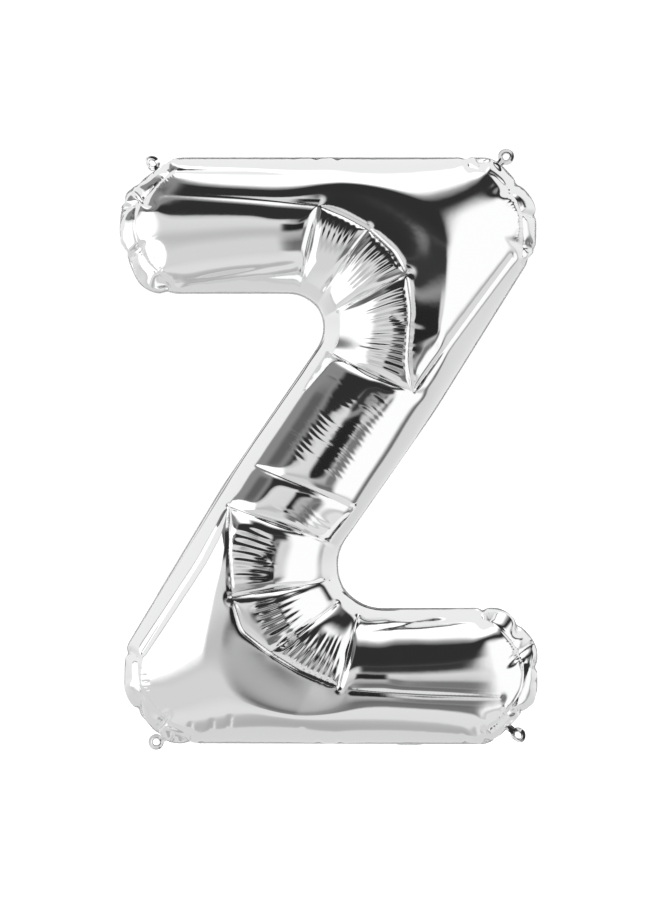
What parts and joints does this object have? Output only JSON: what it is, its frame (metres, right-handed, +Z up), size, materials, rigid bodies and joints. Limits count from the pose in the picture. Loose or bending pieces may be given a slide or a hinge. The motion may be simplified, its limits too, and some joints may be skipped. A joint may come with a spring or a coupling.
{
  "type": "letter foil balloon",
  "caption": "Inflated silver foil balloon shaped as the letter Z, two panels heat-sealed at a rim, with punched hanging tabs at its corners and a filling tail behind.",
  "frame": {"origin": "the middle of the letter, on the plane of its seam", "axes": "+Z up along the letter's height, +X to the reader's right, +Y from the front panel to the back panel"},
  "size_m": [0.5427, 0.1774, 0.7811],
  "materials": {
    "silver_foil": "mirror-bright silver film",
    "clear_film": "clear film"
  },
  "bodies": {
    "root": {"front_panel": "silver_foil", "back_panel": "silver_foil", "seam_rim": "silver_foil", "hang_tab_top_left": "silver_foil", "hang_tab_top_right": "silver_foil", "hang_tab_bottom_left": "silver_foil", "hang_tab_bottom_right": "silver_foil", "fill_tail": "silver_foil", "valve_film": "clear_film"}
  },
  "joints": []
}
